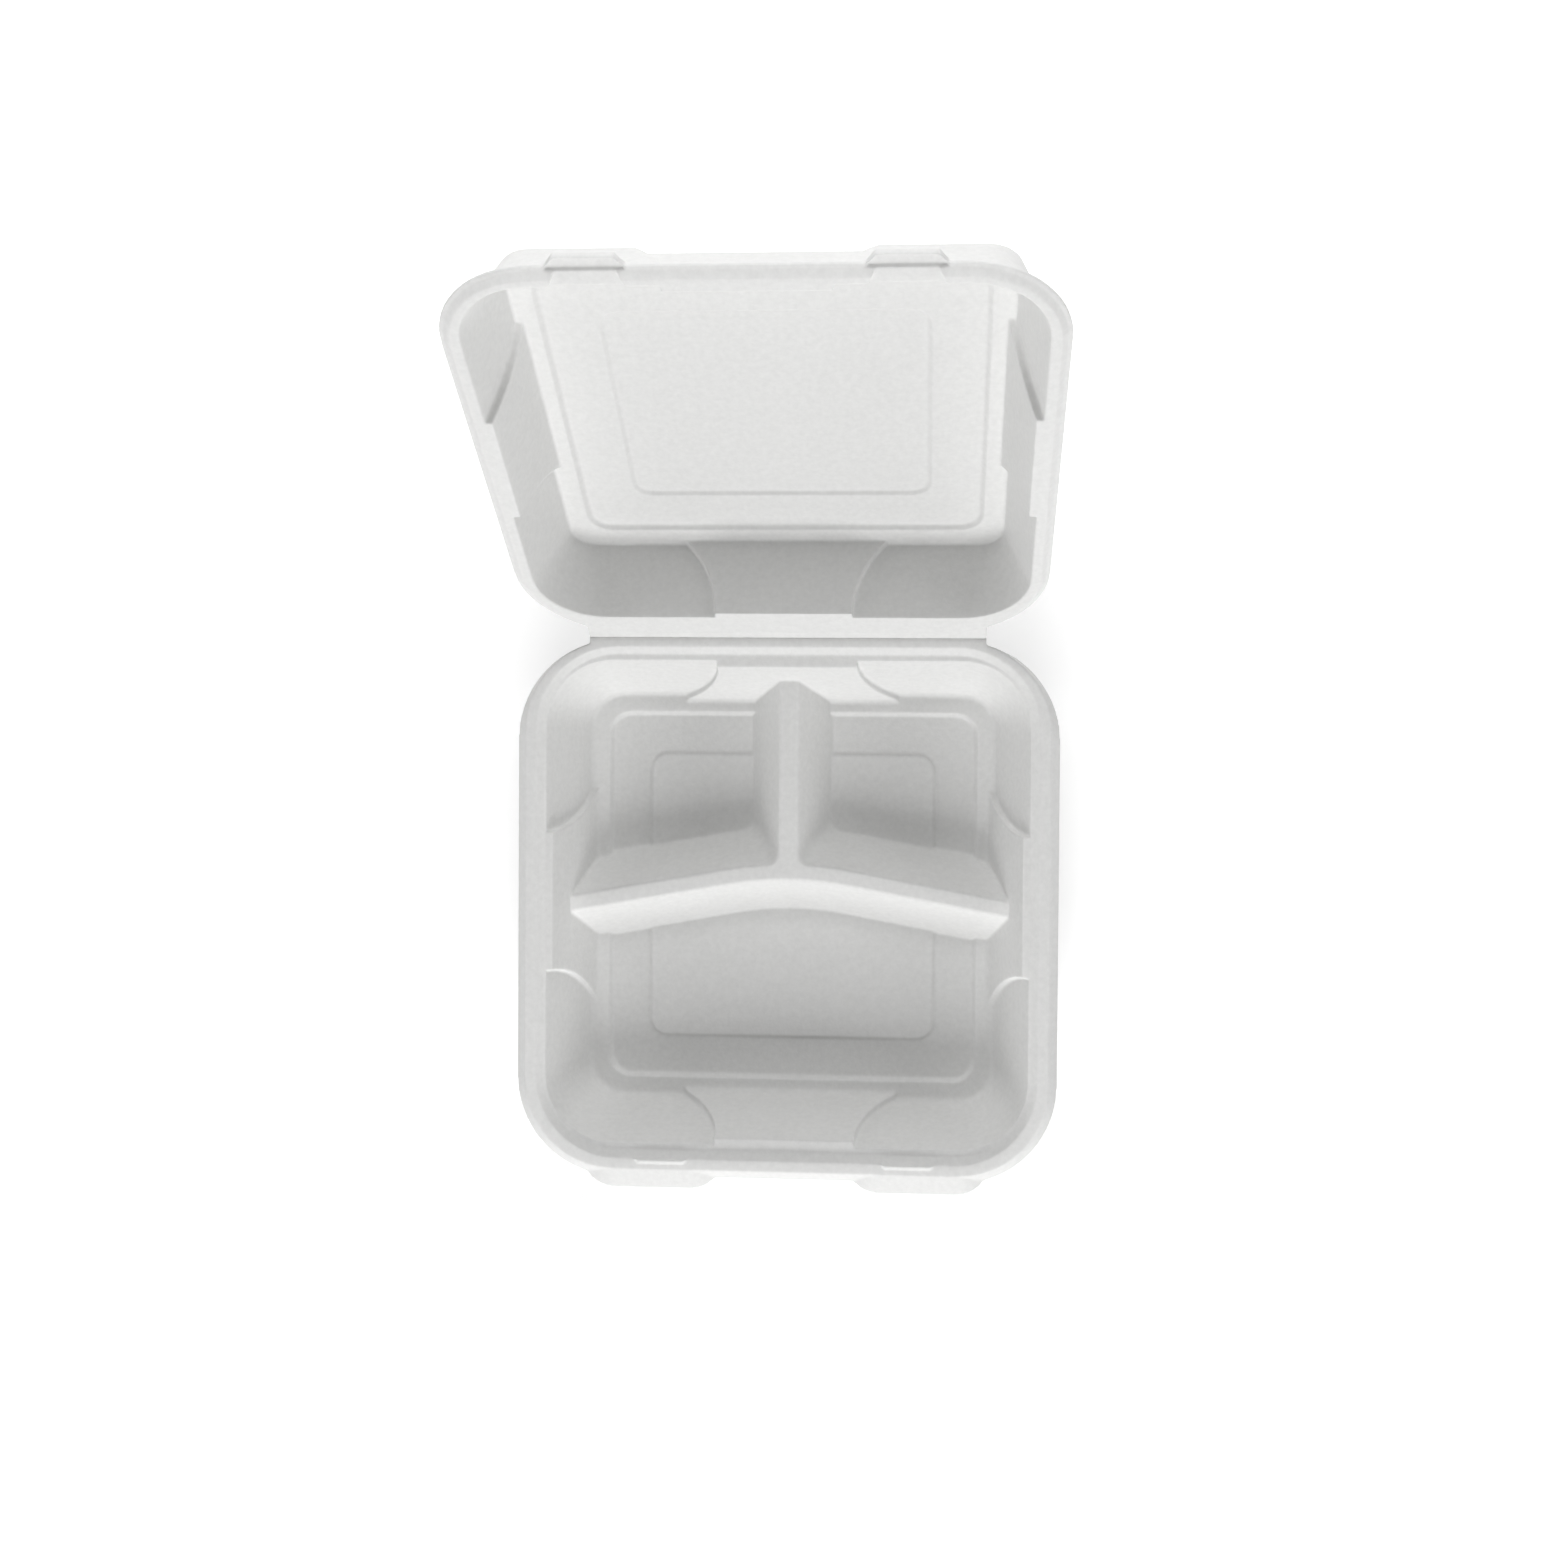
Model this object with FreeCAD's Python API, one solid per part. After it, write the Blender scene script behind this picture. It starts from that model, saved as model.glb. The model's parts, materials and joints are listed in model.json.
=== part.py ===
import FreeCAD, Part
import math
import os
from FreeCAD import Vector

# Three-compartment hinged clamshell food container, moulded as one thin white sheet.
# A square base tray and a domed lid share a fold along the back edge, and the lid stands
# open, leaning back. Millimetres. X runs along the fold, Y points back towards it and Z is
# up. The origin is in the middle of the foot's front strip, on the face that it stands on.
# The tray is drawn around its own middle, and both pieces move to the origin at the end.

# Sheet
base_wall = 2.2
lid_wall = 1.5

# Base tray: overall size at the lower edge of its skirt
skirt_half_width = 114.3
skirt_front = 116.8
skirt_radius = 42.0

# Base tray: heights above the foot
base_height = 43.2
floor_step = 2.5
riser_height = 3.0
skirt_drop = 5.0
panel_raise = 1.2

# Base tray: widths of the bands from the skirt in to the floor's panel, seen from above
skirt_run = 4.3
land_width_side = 4.4
land_width_front = 4.6
land_width_back = 2.7
riser_run = 3.2
ledge_width_side = 0.5
ledge_width_front = 2.5
wall_run = 13.6
floor_width_side = 7.7
floor_width_front = 8.0
foot_width = 17.8
step_slope = 1.6

# Base tray: corner radii, seen from above
riser_radius = 34.5
rim_opening_radius = 28.5
foot_radius = 10.0
panel_radius = 8.0

# Set-in middle of each wall, bounded by two arcs that spread towards the floor
inset_depth = 2.8
inset_half_width = 29.5
inset_spread = 17.3

# Divider: a bent cross wall with a stem that runs to the back wall
divider_height = 26.5
divider_half_ridge = 3.4
divider_apex_y = 12.4
divider_bend_deg = 10.3
divider_bend_radius = 143.0
divider_draft_deg = 31.5
stem_half_ridge = 3.9
stem_draft_deg = 29.5
stem_corner_rounding = 7.0
ridge_rounding = 1.6

# Fold between base tray and lid
fold_land = 3.9
fold_gap = 0.3
closed_gap = 0.3
fold_half_length = 83.0
lid_lean_deg = 30.96

# Lid, laid open flat: the fold is at Y 0, the front at +Y, and Z 0 is the fold's height
lid_depth = 32.5
lid_bead_height = 2.2
flange_strip = 1.3
lid_hinge_radius = 42.0
bead_side_clearance = 0.4
bead_front_clearance = 2.9
bead_back_clearance = 0.5
bead_slope = 2.2
bead_width_side = 3.8
bead_width_front = 3.2
bead_width_back = 11.7
lid_opening_radius = 27.0
lid_wall_run = 9.7
lid_wall_run_back = 2.7
lid_wall_run_front = 20.8
lid_top_radius = 11.0
top_width_side = 8.5
top_width_ends = 9.7
crown_step = 2.0
crown_width = 21.1
crown_radius = 10.0
inner_crown_step = 1.4
inner_crown_radius = 8.0
lid_inset_half_width = 28.0
lid_inset_spread = 14.0

# The tray's front lobes and the latches, one each side of the middle
base_lobe_inner_x = 25.0
base_lobe_outer_x = 87.0
base_lobe_reach = 5.1
base_lobe_radius = 15.0
latch_x = 52.0
pocket_half_inner = 14.1
pocket_half_outer = 9.4
pocket_length = 5.0
pocket_depth = 1.3
lug_height = 1.0
lug_setback = 0.2
latch_clearance = 0.5
notch_half_width = 10.0
notch_flare = 4.0

# Rounding where the tray's walls meet its floor
inner_corner_rounding = 3.0

# Places that follow from the sizes above
land_half_width = skirt_half_width - skirt_run
land_front = skirt_front - skirt_run
riser_half_width = land_half_width - land_width_side
riser_half_depth = land_front - land_width_front
land_back = riser_half_depth + land_width_back
fold_y = riser_half_depth + fold_land
rim_half_depth = riser_half_depth - riser_run - ledge_width_front
foot_half_depth = rim_half_depth - wall_run - floor_width_front
foot_strip_y = foot_half_depth - foot_width / 2
z_ledge = base_height - riser_height
z_floor = base_wall + floor_step


class Outline:
    """A rounded rectangle seen from above, symmetric about X 0.

    The two corners at low Y may have a radius of their own.
    """

    def __init__(self, half_width, low_y, high_y, radius, low_radius=None):
        self.half_width = half_width
        self.low_y = low_y
        self.high_y = high_y
        self.radius = radius
        self.low_radius = radius if low_radius is None else low_radius

    def grown(self, distance):
        return Outline(self.half_width + distance, self.low_y - distance, self.high_y + distance,
                       self.radius + distance, self.low_radius + distance)

    def wire(self, z, left=None):
        x0 = -self.half_width if left is None else left
        x1, y0, y1, r, s = self.half_width, self.low_y, self.high_y, self.radius, self.low_radius
        high, low = r * (1.0 - math.sqrt(0.5)), s * (1.0 - math.sqrt(0.5))
        points = [
            (x0 + s, y0), (x1 - s, y0), (x1 - low, y0 + low), (x1, y0 + s),
            (x1, y1 - r), (x1 - high, y1 - high), (x1 - r, y1),
            (x0 + r, y1), (x0 + high, y1 - high), (x0, y1 - r),
            (x0, y0 + s), (x0 + low, y0 + low),
        ]
        p = [Vector(x, y, z) for x, y in points]
        return Part.Wire([
            Part.makeLine(p[0], p[1]), Part.Arc(p[1], p[2], p[3]).toShape(),
            Part.makeLine(p[3], p[4]), Part.Arc(p[4], p[5], p[6]).toShape(),
            Part.makeLine(p[6], p[7]), Part.Arc(p[7], p[8], p[9]).toShape(),
            Part.makeLine(p[9], p[10]), Part.Arc(p[10], p[11], p[0]).toShape(),
        ])


def frustum(lower, z_lower, upper, z_upper):
    """Solid between two rounded rectangles at two heights."""
    return Part.makeLoft([lower.wire(z_lower), upper.wire(z_upper)], True, True)


def polygon_prism(points, z_low, z_high):
    corners = [Vector(x, y, z_low) for x, y in points]
    face = Part.Face(Part.makePolygon(corners + corners[:1]))
    return face.extrude(Vector(0, 0, z_high - z_low))


def mirrored(shape):
    return shape.mirror(Vector(0, 0, 0), Vector(1, 0, 0))


def edges_at_height(shape, z, tolerance=0.01):
    """Edges of a shape that lie flat at one height."""
    return [edge for edge in shape.Edges
            if abs(edge.BoundBox.ZMin - z) < tolerance and abs(edge.BoundBox.ZMax - z) < tolerance]


def arc_radius(height, spread):
    """Radius of an arc that starts upright and spreads sideways by the time it is down."""
    return (height ** 2 + spread ** 2) / (2 * spread)


def arch_prism(half_width, radius, z_rim, z_low, reach):
    """Prism over a wall's set-in middle: upright at the rim, spreading towards the floor."""
    def arc_x(z):
        return half_width + radius - math.sqrt(radius ** 2 - (z_rim - z) ** 2)

    z_mid = 0.5 * (z_rim + z_low)
    rim_right, rim_left = Vector(half_width, 0, z_rim), Vector(-half_width, 0, z_rim)
    low_right, low_left = Vector(arc_x(z_low), 0, z_low), Vector(-arc_x(z_low), 0, z_low)
    wire = Part.Wire([
        Part.makeLine(rim_left, rim_right),
        Part.Arc(rim_right, Vector(arc_x(z_mid), 0, z_mid), low_right).toShape(),
        Part.makeLine(low_right, low_left),
        Part.Arc(low_left, Vector(-arc_x(z_mid), 0, z_mid), rim_left).toShape(),
    ])
    return Part.Face(wire).extrude(Vector(0, reach, 0))


def rounded_cup(rim, z_rim, floor, z_low, rounding):
    """Tapered cup with its floor's edge rounded."""
    cup = frustum(floor, z_low, rim, z_rim)
    return cup.makeFillet(rounding, edges_at_height(cup, z_low))


def cup_with_insets(cup_grown_by, rim, z_rim, z_low, half_width, radius):
    """Cup whose four walls have their middles set in by inset_depth."""
    cup = cup_grown_by(0)
    ring = cup.cut(cup_grown_by(-inset_depth))
    middle_y = 0.5 * (rim.low_y + rim.high_y)
    reach = rim.high_y - rim.low_y
    arch = arch_prism(half_width, radius, z_rim, z_low, reach)
    for turn in (0, 90, 180, 270):
        wall_arch = arch.copy()
        wall_arch.rotate(Vector(0, 0, 0), Vector(0, 0, 1), turn)
        wall_arch.translate(Vector(0, middle_y, 0))
        cup = cup.cut(ring.common(wall_arch))
    return cup


def divider_band(half_width, z):
    """Closed outline of the bent cross wall at one height, running past both side walls."""
    bend = math.radians(divider_bend_deg)
    centre = Vector(0, divider_apex_y - divider_bend_radius, z)
    end_x = skirt_half_width

    def side_points(radius):
        tangent_x = radius * math.sin(bend)
        tangent_y = centre.y + radius * math.cos(bend)
        end_y = tangent_y - (end_x - tangent_x) * math.tan(bend)
        return (Vector(end_x, end_y, z), Vector(tangent_x, tangent_y, z),
                Vector(0, centre.y + radius, z), Vector(-tangent_x, tangent_y, z),
                Vector(-end_x, end_y, z))

    back = side_points(divider_bend_radius + half_width)
    front = side_points(divider_bend_radius - half_width)
    return Part.Wire([
        Part.makeLine(back[0], back[1]), Part.Arc(back[1], back[2], back[3]).toShape(),
        Part.makeLine(back[3], back[4]), Part.makeLine(back[4], front[4]),
        Part.makeLine(front[4], front[3]), Part.Arc(front[3], front[2], front[1]).toShape(),
        Part.makeLine(front[1], front[0]), Part.makeLine(front[0], back[0]),
    ])


def stem_wire(half_width, z):
    """Closed outline of the stem at one height, from the cross wall to past the back wall."""
    corners = [Vector(-half_width, divider_apex_y, z), Vector(half_width, divider_apex_y, z),
               Vector(half_width, skirt_front, z), Vector(-half_width, skirt_front, z)]
    return Part.makePolygon(corners + corners[:1])


def divider_solid(sheet, z_low):
    """Divider and stem. A sheet thickness above 0 gives the hollow underneath them."""
    z_top = divider_height - sheet

    def half_widths(half_ridge, draft_deg):
        slope = math.tan(math.radians(draft_deg))
        normal_offset = sheet / math.cos(math.radians(draft_deg))
        top = half_ridge + sheet * slope - normal_offset
        return top, top + (z_top - z_low) * slope

    cross_top, cross_low = half_widths(divider_half_ridge, divider_draft_deg)
    cross = Part.makeLoft([divider_band(cross_low, z_low), divider_band(cross_top, z_top)], True, True)
    stem_top, stem_low = half_widths(stem_half_ridge, stem_draft_deg)
    stem = Part.makeLoft([stem_wire(stem_low, z_low), stem_wire(stem_top, z_top)], True, True)
    return cross.fuse(stem).removeSplitter()


def valley_edges(divider, z_low):
    """The two slanting edges where the stem's sides meet the back of the cross wall."""
    return [edge for edge in divider.Edges
            if abs(edge.BoundBox.ZMin - z_low) < 0.01 and abs(edge.BoundBox.ZMax - divider_height) < 0.01
            and edge.BoundBox.YMax < skirt_front - 1 and edge.BoundBox.XLength < skirt_half_width / 2
            and abs(edge.CenterOfMass.x) < skirt_half_width / 2]


def softened_divider(z_low):
    """The divider that the food side sees, with its inner corners and its ridge rounded."""
    divider = divider_solid(0, z_low)
    divider = divider.makeFillet(stem_corner_rounding, valley_edges(divider, z_low))
    return divider.makeFillet(ridge_rounding, edges_at_height(divider, divider_height))


def base_outlines():
    """Plan outlines of the tray's inside: riser top and foot, rim opening and floor."""
    riser_top = Outline(riser_half_width, -riser_half_depth, riser_half_depth, riser_radius)
    riser_low = riser_top.grown(-riser_run)
    rim = Outline(riser_low.half_width - ledge_width_side, riser_low.low_y + ledge_width_front,
                  riser_low.high_y - ledge_width_front, rim_opening_radius)
    return riser_top, riser_low, rim, rim.grown(-wall_run)


def lobe(inner_x, outer_x, y_far, y_root, radius, z):
    """Half outline of a front lobe at one height, on the +X side."""
    low_y, high_y = min(y_far, y_root), max(y_far, y_root)
    return Outline(outer_x, low_y, high_y, radius).wire(z, left=inner_x)


def base_skirt():
    """Land and skirt as one sheet: the outer form less the same form lowered."""
    land = Outline(land_half_width, -land_front, land_back, skirt_radius - skirt_run)
    skirt = Outline(skirt_half_width, -skirt_front, land_back + fold_gap, skirt_radius)
    z_skirt = base_height - skirt_drop
    form = frustum(skirt, z_skirt, land, base_height)
    root_y = -land_front + 2 * base_lobe_radius
    run = base_lobe_reach + skirt_run
    lobe_form = Part.makeLoft([
        lobe(base_lobe_inner_x, base_lobe_outer_x, -skirt_front - base_lobe_reach, root_y,
             base_lobe_radius, z_skirt),
        lobe(base_lobe_inner_x + run, base_lobe_outer_x - run, -land_front, root_y,
             base_lobe_radius - run, base_height)], True, True)
    form = form.fuse(lobe_form).fuse(mirrored(lobe_form))
    lowered = form.copy()
    lowered.translate(Vector(0, 0, -base_wall))
    sheet = form.cut(lowered)
    # No skirt hangs below the fold: there the land runs straight into it.
    behind = Part.makeBox(2 * fold_half_length, fold_y, base_height,
                          Vector(-fold_half_length, riser_half_depth, -base_wall))
    fold_tab = Part.makeBox(2 * fold_half_length, fold_y - fold_gap - riser_half_depth, base_wall,
                            Vector(-fold_half_length, riser_half_depth, base_height - base_wall))
    return sheet.cut(behind).fuse(fold_tab)


def pocket_start():
    """Distance from the fold to the lid's latch pockets, where the bead ends."""
    return fold_y + riser_half_depth - bead_front_clearance


def pocket_half_width(distance):
    """Half width of a latch pocket at a distance from the fold."""
    share = (distance - pocket_start()) / pocket_length
    return pocket_half_inner + share * (pocket_half_outer - pocket_half_inner)


def latch_wedge(half_inner, half_outer, y_inner, y_outer, z_low, z_high, x_middle):
    """Low block with slanting ends, for a latch's lug, pocket or gap."""
    points = [(x_middle - half_inner, y_inner), (x_middle + half_inner, y_inner),
              (x_middle + half_outer, y_outer), (x_middle - half_outer, y_outer)]
    return polygon_prism(points, z_low, z_high)


def make_base_tray():
    """Base tray: an outer form less the hollow that the food side sees."""
    riser_top, riser_low, rim, floor = base_outlines()
    foot = Outline(floor.half_width - floor_width_side, floor.low_y + floor_width_front,
                   floor.high_y - floor_width_front, foot_radius)
    panel = Outline(foot.half_width - foot_width, foot.low_y + foot_width, foot.high_y - foot_width,
                    panel_radius)
    inset_radius = arc_radius(z_ledge - z_floor, inset_spread)

    # What the food side sees, as a solid to take away
    def inside(growth):
        return rounded_cup(rim.grown(growth), z_ledge, floor.grown(growth), z_floor, inner_corner_rounding)

    hollow = cup_with_insets(inside, rim, z_ledge, z_floor, inset_half_width, inset_radius)
    hollow = hollow.fuse(frustum(riser_low, z_ledge, riser_top, base_height))
    hollow = hollow.fuse(frustum(riser_top, base_height, riser_top, base_height + riser_height))
    hollow = hollow.fuse(frustum(foot.grown(-step_slope), base_wall, foot, z_floor))
    hollow = hollow.cut(frustum(panel, base_wall, panel.grown(-panel_raise), base_wall + panel_raise))
    hollow = hollow.cut(softened_divider(base_wall - panel_raise))

    # The outside of the sheet
    def outside(growth):
        return rounded_cup(rim.grown(base_wall + growth), z_ledge, floor.grown(base_wall + growth),
                           z_floor - base_wall, inner_corner_rounding + base_wall)

    body = cup_with_insets(outside, rim.grown(base_wall), z_ledge, z_floor - base_wall,
                           inset_half_width - base_wall, inset_radius + base_wall)
    body = body.fuse(frustum(foot.grown(base_wall - step_slope), 0, foot.grown(base_wall), floor_step))
    ledge_under = z_ledge - base_wall
    body = body.fuse(frustum(riser_low.grown(base_wall / 2), ledge_under,
                             riser_top.grown(base_wall), base_height))
    body = body.fuse(base_skirt())
    body = body.cut(frustum(panel, 0, panel.grown(-panel_raise), panel_raise))
    body = body.cut(divider_solid(base_wall, -base_wall))

    tray = body.cut(hollow)
    # Lugs on the front land, which the lid's pockets take with a clearance all round
    lug_near = fold_y + riser_half_depth + lug_setback
    lug_far = pocket_start() + pocket_length - latch_clearance
    lug = latch_wedge(pocket_half_width(lug_near) - latch_clearance,
                      pocket_half_width(lug_far) - latch_clearance, fold_y - lug_near, fold_y - lug_far,
                      base_height - base_wall / 2, base_height + lug_height, latch_x)
    return tray.fuse(lug).fuse(mirrored(lug)).removeSplitter()


def make_lid():
    """The lid laid open flat behind the fold, before it is turned up."""
    z_flange = -closed_gap / 2
    back_riser = fold_y - riser_half_depth + bead_back_clearance
    front_riser = pocket_start()
    bead_foot = Outline(riser_half_width - bead_side_clearance, back_riser, front_riser,
                        riser_radius - bead_side_clearance, lid_hinge_radius)
    bead_top = bead_foot.grown(-bead_slope)
    rim = Outline(bead_top.half_width - bead_width_side, bead_top.low_y + bead_width_back,
                  bead_top.high_y - bead_width_front, lid_opening_radius)
    top = Outline(rim.half_width - lid_wall_run, rim.low_y + lid_wall_run_back,
                  rim.high_y - lid_wall_run_front, lid_top_radius)
    crown = Outline(top.half_width - top_width_side, top.low_y + top_width_ends,
                    top.high_y - top_width_ends, crown_radius)
    inner_crown = Outline(crown.half_width - crown_width, crown.low_y + crown_width,
                          crown.high_y - crown_width, inner_crown_radius)
    inset_radius = arc_radius(lid_bead_height + lid_depth, lid_inset_spread)
    z_crown = -lid_depth - crown_step
    z_inner = z_crown - inner_crown_step

    def inside(growth):
        return frustum(top.grown(growth), -lid_depth, rim.grown(growth), lid_bead_height)

    hollow = cup_with_insets(inside, rim, lid_bead_height, -lid_depth, lid_inset_half_width, inset_radius)
    hollow = hollow.fuse(frustum(rim, lid_bead_height, rim, 2 * lid_bead_height))
    hollow = hollow.fuse(frustum(crown.grown(-step_slope), z_crown, crown, -lid_depth))
    hollow = hollow.fuse(frustum(inner_crown.grown(-inner_crown_step), z_inner, inner_crown, z_crown))

    def outside(growth):
        return frustum(top.grown(lid_wall + growth), -lid_depth - lid_wall,
                       rim.grown(lid_wall + growth), lid_bead_height)

    body = cup_with_insets(outside, rim.grown(lid_wall), lid_bead_height, -lid_depth - lid_wall,
                           lid_inset_half_width - lid_wall, inset_radius + lid_wall)
    body = body.fuse(frustum(crown.grown(lid_wall - step_slope), z_crown - lid_wall,
                             crown.grown(lid_wall), -lid_depth - lid_wall))
    body = body.fuse(frustum(inner_crown.grown(lid_wall - inner_crown_step), z_inner - lid_wall,
                             inner_crown.grown(lid_wall), z_crown - lid_wall))

    # Narrow flange round the bead, and the fold edge
    flange = bead_foot.grown(flange_strip)
    z_under = z_flange - lid_wall
    plate = frustum(flange, z_under, flange, z_flange)
    fold_tab = Part.makeBox(2 * fold_half_length, lid_hinge_radius - fold_gap, lid_wall,
                            Vector(-fold_half_length, fold_gap, z_under))
    plate = plate.fuse(fold_tab)

    # Raised bead that drops inside the tray's riser, hollow underneath along the fold
    bead = frustum(bead_foot, z_flange, bead_top, lid_bead_height)
    bead = bead.fuse(frustum(bead_foot, z_under, bead_foot, z_flange))
    under_groove = Outline(rim.half_width, bead_top.low_y + lid_wall, rim.high_y, lid_opening_radius,
                           bead_top.low_radius - lid_wall)
    groove = frustum(under_groove, z_under - lid_wall, under_groove, lid_bead_height - lid_wall)
    plate = plate.fuse(bead).cut(groove)

    # Latch pockets that reach out past the flange, and the gaps in the bead in front of them
    lid = body.fuse(plate)
    pocket_end = front_riser + pocket_length
    for side in (-latch_x, latch_x):
        lid = lid.fuse(latch_wedge(pocket_half_inner + lid_wall / 2, pocket_half_outer + lid_wall / 2,
                                   front_riser - lid_wall, pocket_end + lid_wall / 2,
                                   z_under - pocket_depth, z_flange, side))
        lid = lid.cut(latch_wedge(pocket_half_inner, pocket_half_outer, front_riser, pocket_end,
                                  z_flange - pocket_depth, lid_bead_height, side))
        lid = lid.cut(latch_wedge(notch_half_width + notch_flare, notch_half_width,
                                  rim.high_y - inset_depth, front_riser + fold_gap,
                                  z_flange, 2 * lid_bead_height, side))
    return lid.cut(hollow).removeSplitter()


def main():
    os.makedirs("parts", exist_ok=True)
    fold_z = base_height + closed_gap / 2
    base_tray = make_base_tray()
    lid = make_lid()
    lid.translate(Vector(0, fold_y, fold_z))
    lid.rotate(Vector(0, fold_y, fold_z), Vector(1, 0, 0), 90 - lid_lean_deg)
    for name, shape in (("base_tray", base_tray), ("lid", lid)):
        shape.translate(Vector(0, foot_strip_y, 0))
        print(name, "valid", shape.isValid(), "solids", len(shape.Solids), "faces", len(shape.Faces),
              "volume cm3", round(shape.Volume / 1000, 2), "box", shape.BoundBox)
        shape.exportStep(os.path.join("parts", name + ".step"))


main()
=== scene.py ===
# %% [markdown]
# A hinged foam food container, dressed for a photograph.
# The real one is a single sheet of white foam, heated and pressed between two moulds. So
# nothing on it is sharp: every step, rib and rim is a soft fold of one thin sheet. The
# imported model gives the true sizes, and this lesson gives it its soft edges, its skin and
# its light. Blender works in metres, so millimetres get one factor.

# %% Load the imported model
import json
import math

import bmesh
import bpy
from mathutils import Matrix, Vector


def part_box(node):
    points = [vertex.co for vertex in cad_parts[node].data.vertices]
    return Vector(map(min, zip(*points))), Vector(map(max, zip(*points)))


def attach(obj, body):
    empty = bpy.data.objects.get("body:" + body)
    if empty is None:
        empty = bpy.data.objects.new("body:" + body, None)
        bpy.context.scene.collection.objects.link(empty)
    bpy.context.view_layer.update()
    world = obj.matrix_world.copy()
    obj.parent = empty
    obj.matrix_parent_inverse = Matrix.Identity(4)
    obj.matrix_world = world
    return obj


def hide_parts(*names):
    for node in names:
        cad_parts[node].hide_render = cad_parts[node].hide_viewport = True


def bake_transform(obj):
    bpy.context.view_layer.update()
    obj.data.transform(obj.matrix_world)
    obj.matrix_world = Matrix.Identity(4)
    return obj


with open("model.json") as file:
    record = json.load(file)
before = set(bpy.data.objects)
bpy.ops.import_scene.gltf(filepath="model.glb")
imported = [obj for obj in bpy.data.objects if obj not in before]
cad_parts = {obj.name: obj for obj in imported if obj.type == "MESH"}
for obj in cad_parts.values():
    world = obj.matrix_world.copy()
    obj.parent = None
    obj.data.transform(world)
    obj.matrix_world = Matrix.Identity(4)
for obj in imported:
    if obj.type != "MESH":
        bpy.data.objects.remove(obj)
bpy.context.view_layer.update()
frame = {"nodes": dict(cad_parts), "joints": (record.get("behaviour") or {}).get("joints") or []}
MM = 0.001

# %% [markdown]
# Two places come from the model itself, so they can't drift from it: the line that the lid
# folds on, and the height of the tray's foot, which is where the floor goes. Only the lean
# of the open lid is given here, as an angle back from upright. From it come two directions
# that the fold needs: up along the lid, and into its hollow side.

# %% Places taken from the model
fold = Vector(frame["joints"][0]["pos_m"])
lid_lean = math.radians(30.96)
up_the_lid = Vector((0, math.sin(lid_lean), math.cos(lid_lean)))
into_the_lid = Vector((0, -math.cos(lid_lean), math.sin(lid_lean)))
foot_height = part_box("base_tray")[0].z
print("fold at", [round(value / MM, 1) for value in fold], "foot at", round(foot_height / MM, 1))

# %% [markdown]
# Three small helpers serve the whole file. The first turns a colour as it is written for a
# screen into the linear numbers that light works in. The second adds a shader node, sets
# its values and makes its links, so that a material reads as a list of what it is made of.
# The third is 1 for what the lens sees, directly or in a reflection, and 0 for the light
# that falls on things. The floor and the sky both need it.

# %% Helpers for colour and shader nodes
def linear(hex_colour):
    channels = [int(hex_colour[i:i + 2], 16) / 255 for i in (1, 3, 5)]
    red, green, blue = (c / 12.92 if c <= 0.04045 else ((c + 0.055) / 1.055) ** 2.4
                        for c in channels)
    return red, green, blue, 1.0


def add(material_or_world, kind, settings=None, links=None, **properties):
    tree = material_or_world.node_tree
    node = tree.nodes.new(kind)
    for name, value in properties.items():
        setattr(node, name, value)
    for socket, value in (settings or {}).items():
        node.inputs[socket].default_value = value
    for socket, source in (links or {}).items():
        tree.links.new(source, node.inputs[socket])
    return node


def seen_by_lens(material_or_world):
    ray = add(material_or_world, "ShaderNodeLightPath")
    either = add(material_or_world, "ShaderNodeMath",
                 links={0: ray.outputs["Is Camera Ray"], 1: ray.outputs["Is Glossy Ray"]},
                 operation="MAXIMUM")
    return either.outputs[0]


print("a screen white of #E1E1E0 sends back", round(linear("#E1E1E0")[0], 2), "of the light")

# %% [markdown]
# The sheet is polystyrene foam, extruded thin and then formed hot. Its skin is a closed,
# matt film over tiny gas cells. To the eye that gives three things: a white that is never
# quite even, a fine mottle from the cells, and a faint unevenness over a centimetre or so,
# where the hot sheet stretched over the mould. The cells are about 0.4 mm across, too fine
# for this picture, so they are drawn at 1.1 mm. Light also sinks a little way into foam,
# which softens small shadows. The noise patterns seldom leave the middle of their range,
# so that middle is spread over the two whites, and over two shades of matt.

# %% Sizes of the foam's patterns
cell_size = 1.1 * MM
mottle_size = cell_size / 0.45
stretch_size = 14 * MM
cell_height = 0.035 * MM
stretch_height = 0.16 * MM
noise_low, noise_high = 0.3, 0.7
least_matt, most_matt = 0.56, 0.68
light_depth = 1.5 * MM
print("foam cells drawn at", cell_size / MM, "mm, mottle at", round(mottle_size / MM, 1), "mm")

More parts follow.
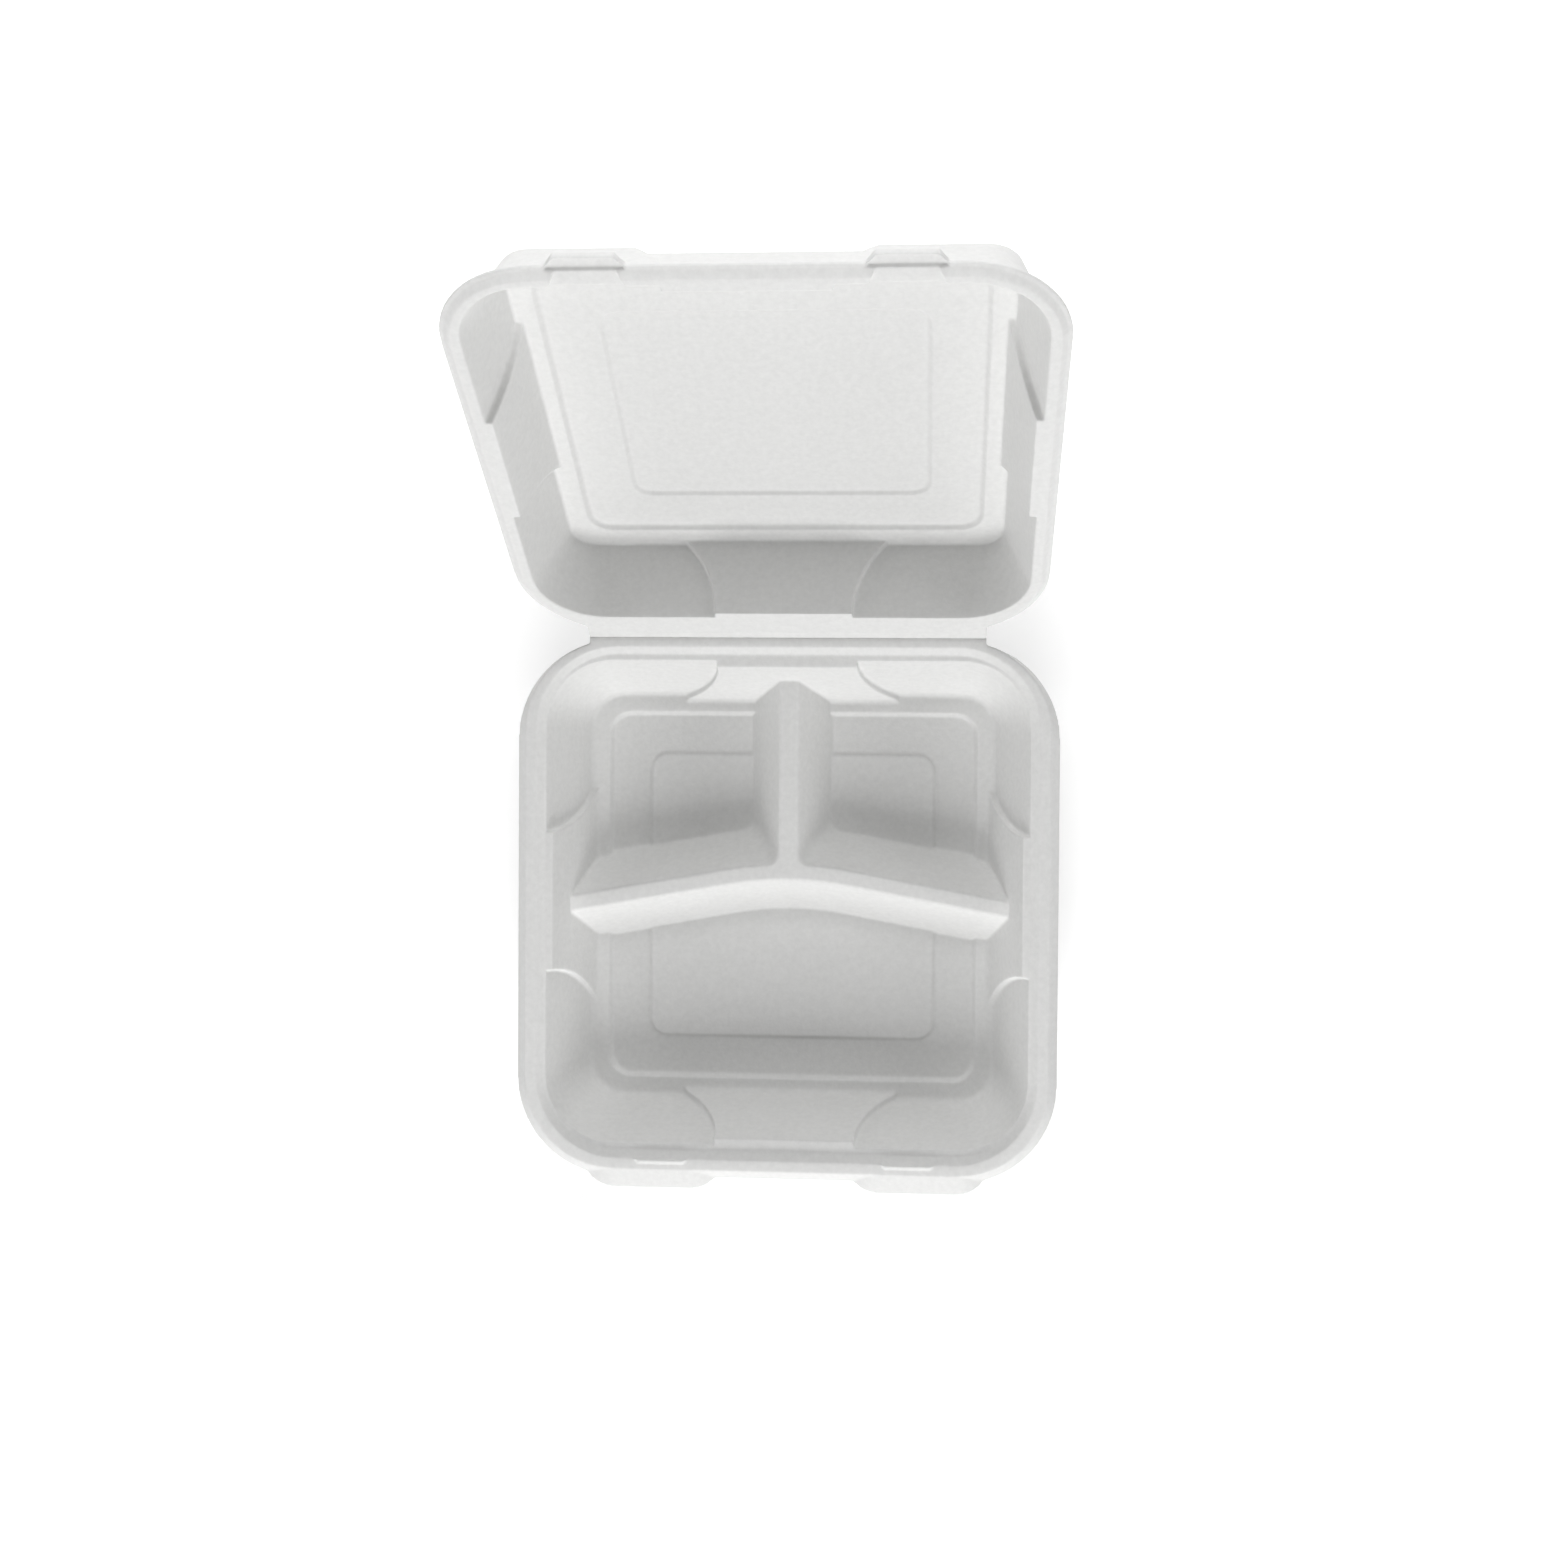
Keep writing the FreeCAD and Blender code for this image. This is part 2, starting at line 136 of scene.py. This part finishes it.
# %% White foam skin
def foam_skin(name, light_hex, deep_hex):
    material = bpy.data.materials.new(name)
    material.use_nodes = True
    material.node_tree.nodes.clear()
    place = add(material, "ShaderNodeTexCoord").outputs["Object"]
    cells = add(material, "ShaderNodeTexVoronoi",
                {"Scale": 1 / cell_size, "Randomness": 1.0}, {"Vector": place}, feature="F1")
    mottle = add(material, "ShaderNodeTexNoise",
                 {"Scale": 1 / mottle_size, "Detail": 3.0, "Roughness": 0.6}, {"Vector": place})
    stretch = add(material, "ShaderNodeTexNoise",
                  {"Scale": 1 / stretch_size, "Detail": 2.0, "Roughness": 0.5}, {"Vector": place})
    tone = add(material, "ShaderNodeMapRange", {"From Min": noise_low, "From Max": noise_high},
               {"Value": mottle.outputs["Fac"]})
    colour = add(material, "ShaderNodeMix", {6: linear(deep_hex), 7: linear(light_hex)},
                 {0: tone.outputs["Result"]}, data_type="RGBA")
    gloss = add(material, "ShaderNodeMapRange",
                {"From Min": noise_low, "From Max": noise_high,
                 "To Min": least_matt, "To Max": most_matt},
                {"Value": mottle.outputs["Fac"]})
    long_bump = add(material, "ShaderNodeBump", {"Strength": 1.0, "Distance": stretch_height},
                    {"Height": stretch.outputs["Fac"]})
    cell_bump = add(material, "ShaderNodeBump", {"Strength": 1.0, "Distance": cell_height},
                    {"Height": cells.outputs["Distance"], "Normal": long_bump.outputs["Normal"]})
    skin = add(material, "ShaderNodeBsdfPrincipled",
               {"IOR": 1.5, "Specular IOR Level": 0.35, "Subsurface Weight": 0.12,
                "Subsurface Radius": (1.0, 1.0, 1.0), "Subsurface Scale": light_depth},
               {"Base Color": colour.outputs[2], "Roughness": gloss.outputs["Result"],
                "Normal": cell_bump.outputs["Normal"]})
    add(material, "ShaderNodeOutputMaterial", links={"Surface": skin.outputs["BSDF"]})
    return material


# %% [markdown]
# Tray and lid are one sheet, so both get the same two whites. Each still has a material of
# its own, so that one of them can be given another colour later.

# %% Foam of the tray and of the lid
light_white, deep_white = "#E1E1E0", "#DADAD9"
tray_foam = foam_skin("white_foam_tray", light_white, deep_white)
lid_foam = foam_skin("white_foam_lid", light_white, deep_white)
print(tray_foam.name, "and", lid_foam.name, "have", len(tray_foam.node_tree.nodes), "nodes each")

# %% [markdown]
# The model's shells have the right sections, but their edges are as crisp as a machined
# block. A mould for foam can't press a crisp edge, because the sheet bridges every corner.
# Bevelling hundreds of edges one by one would be slow and would leave seams. Instead each
# shell is filled with a fine grid of cubes and skinned again, which gives one even mesh,
# and that mesh is relaxed a few times. Flat areas stay flat, and every edge turns into a
# soft fold about a millimetre wide. The fine mesh is then thinned to what a picture needs.

# %% Soften a moulded shell
weld_distance = 0.002 * MM
grid_size = 0.5 * MM
relax_share, relax_steps = 0.5, 4
triangle_limit = 190000


def apply_modifiers(piece):
    graph = bpy.context.evaluated_depsgraph_get()
    piece.data = bpy.data.meshes.new_from_object(piece.evaluated_get(graph))
    piece.modifiers.clear()
    return piece.data


def soften(piece):
    weld = piece.modifiers.new("weld", "WELD")
    weld.merge_threshold = weld_distance
    skin = piece.modifiers.new("skin", "REMESH")
    skin.mode, skin.voxel_size, skin.adaptivity = "VOXEL", grid_size, 0.0
    relax = piece.modifiers.new("relax", "SMOOTH")
    relax.factor, relax.iterations = relax_share, relax_steps
    fine_triangles = sum(len(face.vertices) - 2 for face in apply_modifiers(piece).polygons)
    thin = piece.modifiers.new("thin", "DECIMATE")
    thin.ratio = min(1.0, triangle_limit / fine_triangles)
    thinned = apply_modifiers(piece)
    for face in thinned.polygons:
        face.use_smooth = True
    print(piece.name, fine_triangles, "triangles thinned to", len(thinned.polygons))


print("edges softened on a grid of", grid_size / MM, "mm")

# %% [markdown]
# Each softened shell starts as a copy of the model's mesh. It rides on the body that moves
# that mesh, and takes its place in the picture.

# %% Tray and lid
def moulded_shell(node, piece_name, body, material):
    piece = bpy.data.objects.new(piece_name, frame["nodes"][node].data.copy())
    bpy.context.scene.collection.objects.link(piece)
    soften(piece)
    piece.data.materials.clear()
    piece.data.materials.append(material)
    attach(piece, body)
    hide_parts(node)


moulded_shell("base_tray", "foam_base_tray", "base", tray_foam)
moulded_shell("lid", "foam_lid", "lid", lid_foam)

# %% [markdown]
# The hinge isn't a part of its own: it is a line where the same sheet was crushed thin, so
# that it bends. It has to follow the tray on one side and the lid on the other, and to
# stretch round the outside as the lid closes. So it is a narrow strip. Its section runs
# from the tray's edge, in an arc under the fold, to the lid's edge and back along the top.

# %% Section of the fold strip
strip_length = 166 * MM
strip_grip = 2.6 * MM
strip_top = 0.2 * MM
strip_under = 1.75 * MM
strip_crease = 0.5 * MM
arc_steps = 8


def on_tray(back, depth):
    return fold + Vector((0, -back, -depth))


def on_lid(along, depth):
    return fold + up_the_lid * along - into_the_lid * depth


start_angle, end_angle = -math.pi / 2, -lid_lean
arc_angles = [start_angle + (end_angle - start_angle) * i / arc_steps
              for i in range(arc_steps + 1)]
section = [on_tray(strip_grip, strip_under)]
section += [fold + Vector((0, math.cos(a), math.sin(a))) * strip_under for a in arc_angles]
section += [on_lid(strip_grip, strip_under), on_lid(strip_grip, strip_top),
            on_lid(strip_crease, strip_top), on_tray(0, strip_crease),
            on_tray(strip_crease, strip_top), on_tray(strip_grip, strip_top)]
print("section of the fold strip has", len(section), "corners")

# %% [markdown]
# The section is drawn twice, at the two ends of the strip, and joined up. The strip stays where
# it is drawn, at the open lid's lean.

# %% Strip of foam along the fold
def fold_strip(material):
    shape = bmesh.new()
    left, right = ([shape.verts.new(point + Vector((x, 0, 0))) for point in section]
                   for x in (-strip_length / 2, strip_length / 2))
    for i in range(len(section)):
        j = (i + 1) % len(section)
        shape.faces.new((left[i], left[j], right[j], right[i]))
    shape.faces.new(left[::-1])
    shape.faces.new(right)
    bmesh.ops.recalc_face_normals(shape, faces=shape.faces)
    mesh = bpy.data.meshes.new("foam_fold")
    shape.to_mesh(mesh)
    shape.free()
    mesh.materials.append(material)
    piece = bpy.data.objects.new("foam_fold", mesh)
    bpy.context.scene.collection.objects.link(piece)
    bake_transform(piece)


fold_strip(tray_foam)
print("fold strip", round(strip_length / MM), "mm long")

# %% [markdown]
# The container was photographed on plain white. The floor is a wide white sheet. The lens
# should see it as white, while the object should get no more light from it than from any
# pale table. So a little of its brightness is shown to the camera, and to reflections,
# only. The object's soft shadow still falls on it. Further out, where the panels' light
# runs out, the share that only the lens sees rises until the floor is as white as the sky.

# %% White paper
near_glow, far_glow = 0.3, 1.0
glow_rises_from, glow_full_at = 0.3, 1.0


def white_paper():
    material = bpy.data.materials.new("white_paper_sweep")
    material.use_nodes = True
    material.node_tree.nodes.clear()
    place = add(material, "ShaderNodeTexCoord").outputs["Object"]
    distance = add(material, "ShaderNodeVectorMath", links={0: place}, operation="LENGTH")
    level = add(material, "ShaderNodeMapRange",
                {"From Min": glow_rises_from, "From Max": glow_full_at,
                 "To Min": near_glow, "To Max": far_glow},
                {"Value": distance.outputs["Value"]})
    glow = add(material, "ShaderNodeMath",
               links={0: seen_by_lens(material), 1: level.outputs["Result"]},
               operation="MULTIPLY")
    paper = add(material, "ShaderNodeBsdfDiffuse", {"Color": linear("#F4F4F4")})
    shine = add(material, "ShaderNodeEmission", links={"Strength": glow.outputs[0]})
    both = add(material, "ShaderNodeAddShader", links={0: paper.outputs[0], 1: shine.outputs[0]})
    add(material, "ShaderNodeOutputMaterial", links={"Surface": both.outputs[0]})
    return material


print("paper glows from", near_glow, "near the tray to", far_glow, "at", glow_full_at, "m")

# %% White floor
floor_size = 6.0
half = floor_size / 2
floor_corners = [(-half, -half, 0), (half, -half, 0), (half, half, 0), (-half, half, 0)]
floor_mesh = bpy.data.meshes.new("floor")
floor_mesh.from_pydata(floor_corners, [], [(0, 1, 2, 3)])
floor_mesh.materials.append(white_paper())
floor = bpy.data.objects.new("floor", floor_mesh)
floor.location.z = foot_height
bpy.context.scene.collection.objects.link(floor)
print("floor", floor_size, "m wide")

# %% [markdown]
# The photograph's light comes from wide panels all round, set rather low, and hardly any
# from straight above. That is why the faces that look forwards or backwards are the
# brightest, while the flat ledges are a middle grey, and why the front wall and the divider
# lay a soft shadow over the floors behind them. The world is white for the lens and for
# reflections, and adds only a little light of its own.

# %% Sky
sky_level = 0.06
sky_white = (1, 1, 1, 1)

world = bpy.data.worlds.new("studio")
bpy.context.scene.world = world
world.use_nodes = True
world.node_tree.nodes.clear()
brightness = add(world, "ShaderNodeMapRange", {"To Min": sky_level, "To Max": 1.0},
                 {"Value": seen_by_lens(world)})
sky = add(world, "ShaderNodeBackground", {"Color": sky_white},
          {"Strength": brightness.outputs["Result"]})
add(world, "ShaderNodeOutputWorld", links={"Surface": sky.outputs[0]})
print("sky lights at", sky_level)

# %% [markdown]
# The front panel is the strongest. The one behind is next, and lights the outside of the
# lid's dome. Two weak ones fill the sides. Each share is the light that a white card would
# send back if it faced the panel. A lamp's watts grow with the square of its distance, and
# a factor of pi squared turns the share into watts.

# %% Four panels
panels = [
    # name, share, side and height in degrees, distance and size in metres
    ("front_panel", 0.97, 0, 26, 1.4, 0.8),
    ("back_panel", 0.66, 180, 42, 0.85, 0.6),
    ("left_panel", 0.22, 270, 15, 0.85, 0.45),
    ("right_panel", 0.23, 90, 19, 0.85, 0.45),
]
panels_aim = Vector((0, 0.09, 0.04))

for name, share, side_deg, height_deg, distance, size in panels:
    side, height = math.radians(side_deg), math.radians(height_deg)
    toward_panel = Vector((math.cos(height) * math.sin(side),
                           -math.cos(height) * math.cos(side),
                           math.sin(height)))
    panel_data = bpy.data.lights.new(name, "AREA")
    panel_data.shape, panel_data.size = "SQUARE", size
    panel_data.energy = share * math.pi ** 2 * distance ** 2
    panel = bpy.data.objects.new(name, panel_data)
    panel.location = panels_aim + toward_panel * distance
    panel.rotation_euler = toward_panel.to_track_quat("Z", "Y").to_euler()
    bpy.context.scene.collection.objects.link(panel)
    print(name, round(panel_data.energy, 1), "W")

# %% [markdown]
# The camera hangs almost straight above the fold, a little to the right, and looks down.
# Its place and lens were worked out by fitting the container's edges to the photograph,
# so the view keeps the real perspective: the open lid rises towards the lens and looks
# wider than the tray.

# %% Camera
photo_width, photo_height = 1558, 1552
focal_pixels = 1944.6
centre_pixel = Vector((783.1, 751.7))
sensor_width_mm = 36.0
camera_place = fold + Vector((61.6, -28.0, 809.5)) * MM
tilt_x, tilt_y, tilt_z = (math.radians(angle) for angle in (-1.35, 4.44, 0.38))

camera_data = bpy.data.cameras.new("camera")
camera_data.sensor_width = sensor_width_mm
camera_data.lens = focal_pixels * sensor_width_mm / photo_width
camera_data.shift_x = (photo_width / 2 - centre_pixel.x) / photo_width
camera_data.shift_y = (centre_pixel.y - photo_height / 2) / photo_width
camera = bpy.data.objects.new("camera", camera_data)
turn = (Matrix.Rotation(tilt_z, 4, "Z") @ Matrix.Rotation(tilt_y, 4, "Y")
        @ Matrix.Rotation(tilt_x, 4, "X"))
camera.matrix_world = Matrix.Translation(camera_place) @ turn
bpy.context.scene.collection.objects.link(camera)
bpy.context.scene.camera = camera
bpy.context.scene.view_settings.view_transform = "Standard"
print("lens", round(camera_data.lens, 1), "mm")
